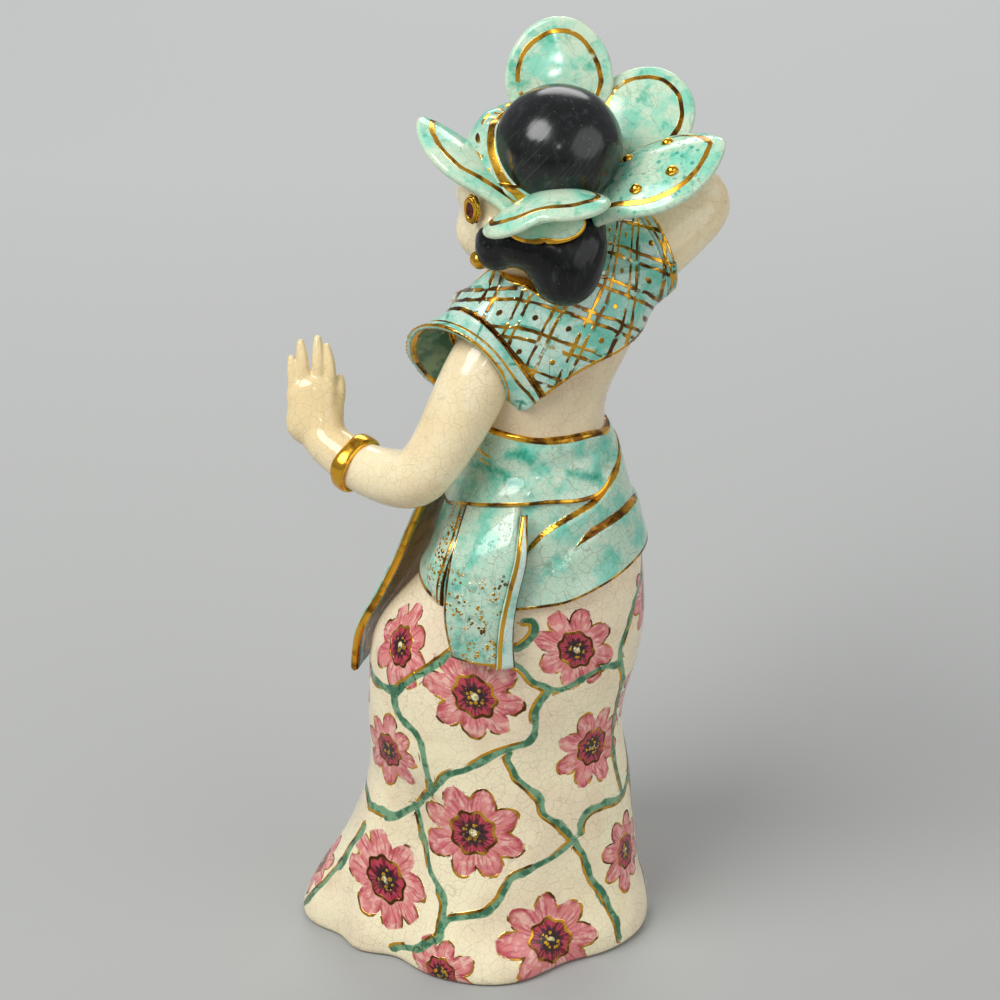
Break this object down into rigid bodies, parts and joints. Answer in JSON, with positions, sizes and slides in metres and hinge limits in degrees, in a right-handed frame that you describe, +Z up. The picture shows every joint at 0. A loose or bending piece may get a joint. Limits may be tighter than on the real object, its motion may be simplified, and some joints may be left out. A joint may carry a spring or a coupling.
{
  "type": "dancer figurine",
  "caption": "Standing dancer figurine in crackle-glazed earthenware with a flowered skirt, turquoise sash and blouse, petal crown and gilt trim.",
  "frame": {"origin": "middle of the base, on the table", "axes": "+Z up, -Y towards the figure's front, +X towards the figure's left"},
  "size_m": [0.1394, 0.1203, 0.3225],
  "materials": {
    "ivory_glaze": "gloss crackle glaze, painted flowers",
    "skin_glaze": "gloss crackle glaze",
    "turquoise_glaze": "gloss crackle glaze, mottled",
    "black_glaze": "gloss, streaked",
    "gold_lustre": "fired gold lustre, gloss",
    "bare_clay": "unglazed, matte"
  },
  "bodies": {
    "root": {"base_plate": "bare_clay", "blouse": "turquoise_glaze", "diadem": "turquoise_glaze", "ear_ornament_left": "gold_lustre", "ear_ornament_right": "gold_lustre", "earring_left": "gold_lustre", "earring_right": "gold_lustre", "front_panel": "ivory_glaze", "hair_dome": "black_glaze", "hair_nape": "black_glaze", "head": "skin_glaze", "hip_sash": "turquoise_glaze", "left_arm": "skin_glaze", "left_bangle": "gold_lustre", "left_hand": "skin_glaze", "nape_guard": "turquoise_glaze", "petal_beads": "gold_lustre", "petal_front_right": "turquoise_glaze", "petal_left_back": "turquoise_glaze", "petal_left_front": "turquoise_glaze", "petal_right": "turquoise_glaze", "petal_right_back": "turquoise_glaze", "right_arm": "skin_glaze", "right_bangle": "gold_lustre", "right_hand": "skin_glaze", "sash_tail_back": "turquoise_glaze", "sash_tail_main": "turquoise_glaze", "sash_tail_pleat": "turquoise_glaze", "skirt_shell": "ivory_glaze", "sleeve_left": "turquoise_glaze", "sleeve_right": "turquoise_glaze", "torso": "skin_glaze", "waist_band": "turquoise_glaze"}
  },
  "joints": []
}
